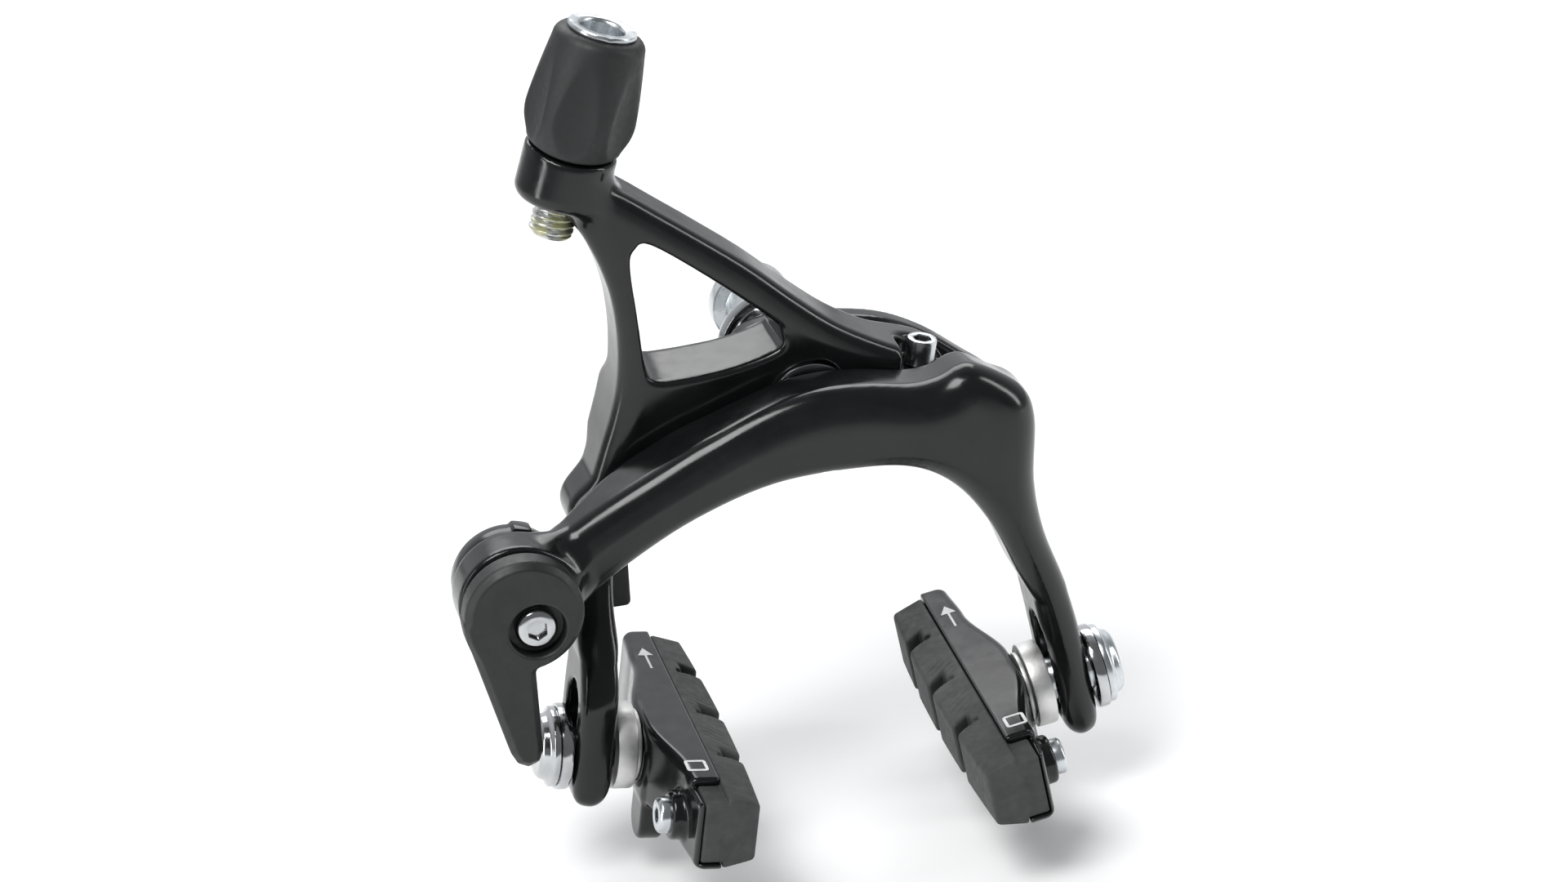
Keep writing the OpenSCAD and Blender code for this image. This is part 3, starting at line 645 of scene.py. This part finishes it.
def moulded():
    """Matt moulded plastic with a fine spark-eroded grain."""
    m = Nodes("moulded_plastic")
    m.colours(m.noise(160), [(0.3, (0.007, 0.0078, 0.008)), (0.7, (0.012, 0.013, 0.0135))])
    m.spread(m.noise(1200, 4), 0.5, 0.62, "Roughness")
    m.bump(m.noise(3000, 3), 0.2, 0.00006)
    return m.material


def plated(name, dark, light, low, high, bump, scale=700):
    """A bare or plated metal: two shades, a span of roughness and a fine grain."""
    m = Nodes(name)
    m.colours(m.noise(scale * 0.3), [(0.3, dark), (0.7, light)])
    m.spread(m.noise(scale, 5), low, high, "Roughness")
    m.bump(m.noise(scale * 3, 3), bump, 0.00004)
    m.set(Metallic=1.0)
    return m.material


def thread_steel():
    """Plated thread with dried thread-locking compound in patches."""
    m = Nodes("thread_steel")
    m.colours(m.noise(420, 3), [(0.48, (0.55, 0.56, 0.55)), (0.6, (0.42, 0.42, 0.27))])
    m.spread(m.noise(420, 3), 1.0, 0.35, "Metallic", 0.48, 0.6)
    m.spread(m.noise(1500, 4), 0.22, 0.42, "Roughness")
    m.bump(m.noise(1800, 3), 0.15, 0.00005)
    return m.material


def pad_rubber():
    """Dull brake rubber with a coarse and a fine grain."""
    m = Nodes("pad_rubber")
    m.colours(m.noise(300), [(0.3, (0.034, 0.037, 0.036)), (0.7, (0.056, 0.06, 0.0585))])
    m.spread(m.noise(800, 5), 0.6, 0.8, "Roughness")
    fine = m.bump(m.noise(2600, 4), 0.3, 0.0001)
    m.bump(m.noise(500, 3), 0.15, 0.0001, fine)
    return m.material


def white_print():
    """Slightly uneven white ink."""
    m = Nodes("white_print")
    m.colours(m.noise(1500), [(0.3, (0.62, 0.62, 0.62)), (0.6, (0.8, 0.8, 0.8))])
    m.spread(m.noise(900), 0.35, 0.5, "Roughness")
    return m.material


paint = gloss_paint()
matt = matt_paint()
plastic = moulded()
chrome = plated("chrome_plate", (0.42, 0.43, 0.44), (0.56, 0.57, 0.58), 0.08, 0.17, 0.02)
# dark metal for the inside of hexagonal sockets: painted shade, darker than the screw's own plating
painted_socket_shade = plated("painted_socket_shade", (0.035, 0.036, 0.038), (0.11, 0.11, 0.115), 0.3, 0.5, 0.1)
zinc = plated("zinc_plate", (0.48, 0.51, 0.53), (0.64, 0.67, 0.69), 0.2, 0.34, 0.08)
blasted = plated("blasted_aluminium", (0.6, 0.6, 0.59), (0.76, 0.76, 0.75), 0.42, 0.55, 0.6, 900)
bronze = plated("sintered_bronze", (0.36, 0.24, 0.12), (0.5, 0.36, 0.18), 0.35, 0.5, 0.2)
steel_thread = thread_steel()
rubber_black = pad_rubber()
print_white = white_print()


def place_piece(obj, node, *materials):
    """Gives a piece its materials and lets it stand for its CAD node."""
    for material in materials:
        obj.data.materials.append(material)
    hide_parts(node)
    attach(obj, body_of_node[node])
    return obj


def piece(node):
    return node + "_look"


# ---------- arms and bridge ----------

def formed(node, field, low, high, step, *materials, place=Matrix()):
    """The look of a node from a distance field inside the box from low to high."""
    return place_piece(solid(piece(node), field, low, high, step, place), node, *materials)


formed("c_arm", front_arm, (-53, -34, -54.5), (38.5, -18, 8), ARM_STEP, paint)
formed("y_arm", rear_arm, (-40, -32, -52.5), (32.5, -7, 46), ARM_STEP, paint)
formed("bridge", bridge, (-9, -7.5, -18), (32.5, -2.8, 9), ARM_STEP, paint)
formed("qr_lever", lever, (-53, -39, -41), (-35.5, -27, -8), PART_STEP, matt)
formed("spring_shoe", shoe, (-33, -15, -31), (-25, -6, -17), PART_STEP, plastic)


# ---------- hub, mounting and side pivot ----------

def turned(node, points, place, material, **how):
    """The look of a node as a lathed piece; the inside of a hexagonal socket gets a dark metal as painted
    shade.
    """
    obj = turn(piece(node), points, place, **how)
    if any(face.material_index for face in obj.data.polygons):
        return place_piece(obj, node, material, painted_socket_shade)
    return place_piece(obj, node, material)


def ring(node, inner, outer, low, high, place, material, **how):
    """A lathed plain ring, or a plain rod where inner is zero."""
    points = [(inner, low), (outer, low), (outer, high), (inner, high)]
    return turned(node, points, place, material, **how)


hub = along_y(0, 0)
side = along_y(*SIDE)
BOLT_FRONT, BOLT_TAIL = -29.2, 13.0
COLLAR_R, COLLAR_BACK = 4.6, BRIDGE_FRONT
bolt_profile = [
    (0, BOLT_FRONT), (2.3, BOLT_FRONT), (2.3, BOLT_FRONT + 2), (BOLT_R, BOLT_FRONT + 2),
    (BOLT_R, COLLAR_BACK - 0.5), (COLLAR_R, COLLAR_BACK - 0.5), (COLLAR_R, COLLAR_BACK),
    (BOLT_R, COLLAR_BACK), (BOLT_R, BOLT_TAIL), (0, BOLT_TAIL)]
turned("centre_bolt", bolt_profile, hub, zinc, r=0.15)
SLEEVE_R, FLANGE_R, FLANGE_FRONT, NUT_END = 4.0, 5.9, 12.4, 15.0
nut_profile = [
    (3.02, 4), (SLEEVE_R, 4), (SLEEVE_R, FLANGE_FRONT), (FLANGE_R, FLANGE_FRONT), (FLANGE_R, NUT_END),
    (2.5, NUT_END, 1), (2.5, NUT_END - 2, 1), (3.02, 12.9)]
turned("sleeve_nut", nut_profile, hub, zinc, r=0.35)


def teeth(radius, height, angle):
    """Radial teeth in the face that bites on the frame."""
    on = (height > -0.05) & (radius > 4.2) & (radius < 7.3)
    wave = np.clip(np.cos(angle * 24) * 2 + 0.4, 0, 1)
    return radius, height - 0.3 * wave * on


WASHER_FRONT, WASHER_R = -1.8, 8.2
washer_profile = [
    (BORE_R, WASHER_FRONT), (7.9, WASHER_FRONT), (WASHER_R + 0.1, -0.7), (WASHER_R, 0), (7.6, 0),
    (4.3, 0), (4.1, 0), (BORE_R, 0)]
turned("mount_washer", washer_profile, hub, chrome, r=0.1, steps=192, shape=teeth)
spacer_profile = [
    (BORE_R, BRIDGE_BACK), (5.8, BRIDGE_BACK), (7, -2.2), (7, WASHER_FRONT), (BORE_R, WASHER_FRONT)]
turned("frame_spacer", spacer_profile, hub, chrome, r=0.15)
ring("hub_washer", BORE_R, 5.9, ARM_BACK + 0.1, REAR_FRONT - 0.1, hub, chrome, r=0.2)
ring("centre_bush", BORE_R, BUSH_R, BUSH_FRONT, ARM_BACK - 0.1, hub, bronze, r=0.2)
grub_profile = [
    (0, -5), (0.75, -5, 1), (0.75, -6.4, 1), (GRUB_R, -6.4), (GRUB_R, -3.2), (0.7, -3.2), (0.7, -2.6),
    (0, -2.6)]
turned("hub_grub_screw", grub_profile, Matrix.Translation((0, GRUB_Y, 0)), zinc, r=0.12)
ring("centering_pin", 0, PIN_R, PIN_ROOT, REAR_BACK - 1, along_y(*PIN), zinc, r=0.4)
HEAD_FRONT, HEAD_BACK = -20.2, -18.2
side_bolt_profile = [
    (0, -18.6), (2, -18.6, 1), (2, HEAD_FRONT, 1), (5.2, HEAD_FRONT), (5.2, HEAD_BACK),
    (BOLT_R, HEAD_BACK), (BOLT_R, -0.4), (0, -0.4)]
turned("side_pivot_bolt", side_bolt_profile, side, zinc, r=0.3)
ring("side_pivot_bush", BORE_R, BUSH_R, -18, REAR_BACK, side, bronze, r=0.2)
ring("side_thrust_washer", BORE_R, 4.9, REAR_BACK + 0.1, BRIDGE_FRONT, side, bronze, r=0.25)
side_nut_profile = [(BOLT_R, BRIDGE_BACK), (5, BRIDGE_BACK, 1), (5, -0.7, 1), (BOLT_R, -0.7)]
turned("side_pivot_nut", side_nut_profile, side, zinc, r=0.3)
SPRING_Y, WIRE_R = -5.1, 0.9
spring_path = [
    (-9, SPRING_Y, -3.4), (-15, SPRING_Y, -5.7), (-21, SPRING_Y, -8), (-24.4, -6.2, -10.2),
    (-26.9, -8, -13), (-27.7, -9.4, -17), (-27.7, -9.4, -22), (-27.7, -9.4, -27.2)]
place_piece(tube(piece("return_spring"), spring_path, WIRE_R), "return_spring", zinc)
centring = Matrix.Translation(CENTRING) @ Matrix.Rotation(CENTRING_LEAN, 4, "Y")
centring_profile = [
    (0, 0.8), (1.15, 0.8, 1), (1.15, 2.7, 1), (CENTRING_HEAD_R, 2.7), (CENTRING_HEAD_R, -1.1),
    (CENTRING_R, -1.1), (CENTRING_R, -6.4), (0, -6.4)]
turned("centering_screw", centring_profile, centring, zinc, r=0.25)

# ---------- cable adjuster ----------

boss = Matrix.Translation(BOSS) @ Matrix.Rotation(BOSS_LEAN, 4, "Y")


def scallops(radius, height, angle):
    """Six shallow flutes round the grip, and a wavy foot that follows the boss."""
    c, r = GRIP_R + 10.0, 11.0
    height = height + RIM_WAVE * np.cos(2 * angle + RIM_PHASE) * (1 - ramp(height, 1.5, 4))
    off = (angle - math.radians(12) + math.pi / 6) % (math.pi / 3) - math.pi / 6
    reach = c * np.cos(off) - np.sqrt(np.maximum(r * r - (c * np.sin(off)) ** 2, 0))
    edge = -np.logaddexp(-radius * 14, -reach * 14) / 14
    return np.where(radius > 4.9, edge, radius), height


def grip_profile():
    """A belly that swells to GRIP_R, narrows again and rounds over into the stem's socket."""
    outer = [(5.7, 0.42), (6.15, 0.5), (6.4, 0.8)]
    for t in np.linspace(0.05, 1, 14):
        outer.append((6.4 + 1.1 * math.sin(t * math.pi / 2), 0.9 + 4.4 * t))
    for t in np.linspace(0.08, 1, 14):
        outer.append((GRIP_R - 1.2 * t ** 1.3, 5.3 + 9.8 * t))
    for t in np.linspace(0.2, 1, 6):
        turn_ = t * math.pi / 2
        outer.append((4.9 + 1.4 * math.cos(turn_), 15.2 + 1.6 * math.sin(turn_)))
    return outer + [(4.25, 16.85), (4.25, 4.2), (3.25, 4.2), (3.25, 0.42)]


turned("barrel_grip", grip_profile(), boss, plastic, r=0, steps=144, shape=scallops, sharp=50)
ring("detent_ring", BORE_R, 4.6, 0.1, 0.8, boss, plastic, r=0.15)


STEM_R, STEM_END, STEM_TOP = 3.0, -12.2, 17.6
SEAT_R, SEAT_FLOOR, CABLE_R = 3.05, 7.0, 1.1


def stem_shape(radius, height, angle):
    """M6 thread below, and small notches round the socket's rim above."""
    radius, height = thread(2.42, STEM_R, 1.0, -12.1, -2.0)(radius, height, angle)
    rim = (height > GRIP_LONG + 1.2) & (radius > 3.7)
    notch = np.clip(np.cos(angle * 4) * 10 - 9, 0, 1)
    return radius - 0.12 * notch * rim, height - 0.1 * notch * rim


stem = [(CABLE_R, STEM_END), (2.5, STEM_END)]
stem += [(STEM_R, h) for h in np.arange(-11.8, -1.9, 0.09)]
stem += [
    (STEM_R, 4.0), (4.2, 4.0), (4.2, 16.85), (4.65, 16.9), (4.72, 17.1), (4.72, 17.4), (4.6, STEM_TOP),
    (3.5, STEM_TOP), (3.15, 17.35), (SEAT_R, 17.0), (SEAT_R, SEAT_FLOOR), (CABLE_R, SEAT_FLOOR)]
stem_piece = turn(piece("barrel_stem"), stem, boss, r=0, steps=96, shape=stem_shape, sharp=50)
place_piece(stem_piece, "barrel_stem", zinc, steel_thread)
axis = Vector((math.sin(BOSS_LEAN), 0, math.cos(BOSS_LEAN)))
# the thread below the boss shows its locking compound
for face in stem_piece.data.polygons:
    rise = (face.center / MM - Vector(BOSS)).dot(axis)
    face.material_index = int(rise < -1.5)

# ---------- quick release ----------

anchor = along_y(*ANCHOR)


def nub(radius, height, angle):
    """The small stop on the clamp plate's rim."""
    off = (angle + math.radians(72) + math.pi) % (2 * math.pi) - math.pi
    lift = ramp(-np.abs(off), -0.22, -0.14)
    return radius + 0.5 * lift * (radius > 7), height


PLATE_FRONT, PLATE_BACK = -27.2, -24.4
plate_profile = [(2.05, PLATE_FRONT), (7.6, PLATE_FRONT), (7.6, PLATE_BACK), (2.05, PLATE_BACK)]
turned("clamp_plate", plate_profile, along_y(*QR), paint, r=0.4, shape=nub, steps=192)
HEAD_TOP, NUT_BACK = -38.0, -21.8
anchor_profile = [
    (0, -36.9), (1.25, -36.9, 1), (1.25, HEAD_TOP, 1), (1.9, HEAD_TOP), (2.5, -37.8),
    (ANCHOR_HEAD_R, -37.3), (ANCHOR_HEAD_R, -36.2), (ANCHOR_R, -36.2), (ANCHOR_R, -22), (0, -22)]
turned("anchor_screw", anchor_profile, anchor, chrome, r=0.2)
anchor_nut_profile = [(ANCHOR_R, PLATE_BACK), (3.5, PLATE_BACK, 1), (3.5, NUT_BACK, 1), (ANCHOR_R, NUT_BACK)]
turned("anchor_nut", anchor_nut_profile, anchor, zinc, r=0.3)


# ---------- pads ----------

PRINT_HIGH = 0.07

def mark(obj, loops, at, place):
    """Adds a thin raised printed shape, the second material, to the top face of a holder."""
    bm = bmesh.new()
    bm.from_mesh(obj.data)
    raise_by = (place.to_3x3() @ Vector((0, 0, PRINT_HIGH))) * MM
    top = HOLDER_HIGH / 2 - 0.62
    for loop in loops:
        verts = [bm.verts.new((place @ Vector((x + at[0], y + at[1], top))) * MM) for x, y in loop]
        face = bm.faces.new(verts)
        face.material_index = 1
        face.normal_update()
        if face.normal.z < 0:
            face.normal_flip()
        extruded = bmesh.ops.extrude_face_region(bm, geom=[face])
        for v in extruded["geom"]:
            if isinstance(v, bmesh.types.BMVert):
                v.co = v.co + raise_by
            if isinstance(v, bmesh.types.BMFace):
                v.material_index = 1
        for edge in face.edges:
            for side_face in edge.link_faces:
                side_face.material_index = 1
    bm.to_mesh(obj.data)
    bm.free()


def arrow():
    """An arrow towards +Y, in two pieces."""
    shaft = [(-0.16, 0), (0.16, 0), (0.16, 4.0), (-0.16, 4.0)]
    head = [(-1.1, 4.0), (1.1, 4.0), (0, 6.2)]
    return [shaft, head]


def square(side_long, wide, corner_r=0.5):
    """A blank rounded square, drawn as a frame of segments."""
    outer, inner = [], []
    reach = side_long / 2 - corner_r
    for k in range(4):
        middle = math.pi / 4 + k * math.pi / 2
        cx, cy = math.copysign(reach, math.cos(middle)), math.copysign(reach, math.sin(middle))
        for t in np.linspace(0, math.pi / 2, 5):
            u, v = math.cos(t + k * math.pi / 2), math.sin(t + k * math.pi / 2)
            outer.append((cx + corner_r * u, cy + corner_r * v))
            inner.append((cx + (corner_r - wide) * u, cy + (corner_r - wide) * v))
    return [[outer[i - 1], outer[i], inner[i], inner[i - 1]] for i in range(len(outer))]


def pad_set(name, pad, mirrored, bolt_metal):
    """All the pieces on one pad bolt. Turned profiles have the bolt's axis towards the rim."""
    place = pad_place(pad, mirrored)
    bolt = along_x(place)
    leg_out, leg_in = -LEG_THICK / 2, LEG_THICK / 2
    seat = leg_out - 1.7
    head = [
        (0, seat - 0.6), (2, seat - 0.6, 1), (2, seat - 2.4, 1), (2.45, seat - 2.6), (3.9, seat - 2.6),
        (4.4, seat - 2.2), (4.75, seat - 1.3), (5.6, seat - 0.9), (5.6, seat), (BOLT_R, seat),
        (BOLT_R, 9.5), (0, 9.5)]
    turned(name + "_pad_bolt", head, bolt, bolt_metal, r=0.2)
    ring(name + "_outer_washer", 3.1, 6, leg_out - 1.65, leg_out - 0.05, bolt, chrome, r=0.35)
    cup_face = leg_in + 0.05
    cup = [(3.6, cup_face), (6.05, cup_face), (6.05, 5.95), (5.3, 5.95), (4.6, 5.1), (3.6, 4.62)]
    turned(name + "_cup_washer", cup, bolt, blasted, r=0.35)
    dome_back = leg_in + 3.6
    dome = [(3.1, dome_back), (3.1, 5.05), (4.0, 5.4), (5.0, 6.05), (5.0, dome_back)]
    turned(name + "_dome_washer", dome, bolt, blasted, r=0.15)

    end = PAD_LONG / 2 + 0.5
    holder_piece = formed(name + "_pad_holder", holder, (6, -end, -13.2), (14.5, end, 5.5), PART_STEP,
                          paint, print_white, place=place)
    mark(holder_piece, arrow(), (11.6, 13.0), place)
    mark(holder_piece, square(3.0, 0.42), (11.3, -16.0), place)
    formed(name + "_brake_pad", rubber, (11, -end, -7), (PAD_OUT + 0.5, end, 5.5), PART_STEP,
           rubber_black, place=place)
    screw = [
        (0, 7.2), (1, 7.2, 1), (1, 6.0, 1), (2.1, 6.0), (2.5, 6.4), (2.5, 8.1), (RETAINER_R, 8.1),
        (RETAINER_R, 13.2), (0, 13.2)]
    screw_at = along_x(place @ Matrix.Translation((0, RETAINER_IN - PAD_LONG / 2, RETAINER_Z)))
    turned(name + "_retaining_screw", screw, screw_at, zinc, r=0.15)


pad_set("left", LEFT_PAD, False, chrome)
pad_set("right", RIGHT_PAD, True, zinc)

# ---------- stage ----------

TARGET = (0, -22, 0)
FLOOR_Z = -64


def area(name, at, size, power):
    """A soft box aimed at the middle of the brake."""
    lamp = bpy.data.lights.new(name, "AREA")
    lamp.shape = "RECTANGLE"
    lamp.size, lamp.size_y = size[0] * MM, size[1] * MM
    lamp.energy = power
    obj = bpy.data.objects.new(name, lamp)
    obj.location = Vector(at) * MM
    obj.rotation_euler = (Vector(TARGET) - Vector(at)).to_track_quat("-Z", "Y").to_euler()
    bpy.context.scene.collection.objects.link(obj)


def floor():
    """A wide sheet of pale paper under the brake."""
    mesh = bpy.data.meshes.new("floor")
    size, z = 6000 * MM, FLOOR_Z * MM
    corners = [(-size, -size, z), (size, -size, z), (size, size, z), (-size, size, z)]
    mesh.from_pydata(corners, [], [(0, 1, 2, 3)])
    obj = bpy.data.objects.new("floor", mesh)
    bpy.context.scene.collection.objects.link(obj)
    m = Nodes("floor_paper")
    m.colours(m.noise(3), [(0.3, (0.9, 0.9, 0.9)), (0.7, (0.93, 0.93, 0.93))])
    m.spread(m.noise(20), 0.85, 0.95, "Roughness")
    m.set(Specular_IOR_Level=0.1)
    mesh.materials.append(m.material)


floor()
area("key", (-260, -240, 520), (300, 300), 3.0)
area("back", (60, 420, 420), (620, 300), 2.3)
area("left", (-560, -200, 120), (90, 420), 0.9)
area("right", (520, -120, 200), (90, 420), 0.9)


def studio():
    """A room that is pale behind the brake, and dark above it and on the camera's side."""
    world = bpy.data.worlds.new("studio")
    world.use_nodes = True
    tree = world.node_tree
    place = tree.nodes.new("ShaderNodeTexCoord")
    mapping = tree.nodes.new("ShaderNodeMapping")
    mapping.inputs["Rotation"].default_value = (0, 0, math.radians(-90))
    gradient = tree.nodes.new("ShaderNodeTexGradient")
    shades = tree.nodes.new("ShaderNodeValToRGB")
    shades.color_ramp.elements[0].color = (0.2, 0.205, 0.21, 1)
    shades.color_ramp.elements[1].color = (0.95, 0.97, 1, 1)
    back = tree.nodes["Background"]
    tree.links.new(place.outputs["Generated"], mapping.inputs["Vector"])
    tree.links.new(mapping.outputs["Vector"], gradient.inputs["Vector"])
    tree.links.new(gradient.outputs["Fac"], shades.inputs["Fac"])
    tree.links.new(shades.outputs["Color"], back.inputs["Color"])
    back.inputs["Strength"].default_value = 1.0
    bpy.context.scene.world = world


studio()
bpy.context.scene.view_settings.view_transform = "Standard"
bpy.context.scene.view_settings.look = "None"

# ---------- camera ----------


def camera():
    """Looks at the front from the left, from above, a long lens a little rolled."""
    yaw, pitch, roll = math.radians(12.5), math.radians(26), math.radians(3.2)
    away, target = 719.8, Vector(TARGET)
    shift_right, shift_up = 3.88, 4.76
    look = Vector((math.sin(yaw) * math.cos(pitch), math.cos(yaw) * math.cos(pitch), -math.sin(pitch)))
    level = Vector((math.cos(yaw), -math.sin(yaw), 0))
    upright = level.cross(look)
    right = math.cos(roll) * level - math.sin(roll) * upright
    up = math.sin(roll) * level + math.cos(roll) * upright
    at = target - away * look - shift_right * right - shift_up * up
    data = bpy.data.cameras.new("camera")
    data.sensor_width = 36
    data.lens = 121.875
    data.clip_start, data.clip_end = 0.01, 50
    data.dof.use_dof = False
    obj = bpy.data.objects.new("camera", data)
    basis = Matrix((right, up, -look)).transposed().to_4x4()
    obj.matrix_world = Matrix.Translation(at * MM) @ basis
    bpy.context.scene.collection.objects.link(obj)
    bpy.context.scene.camera = obj


camera()
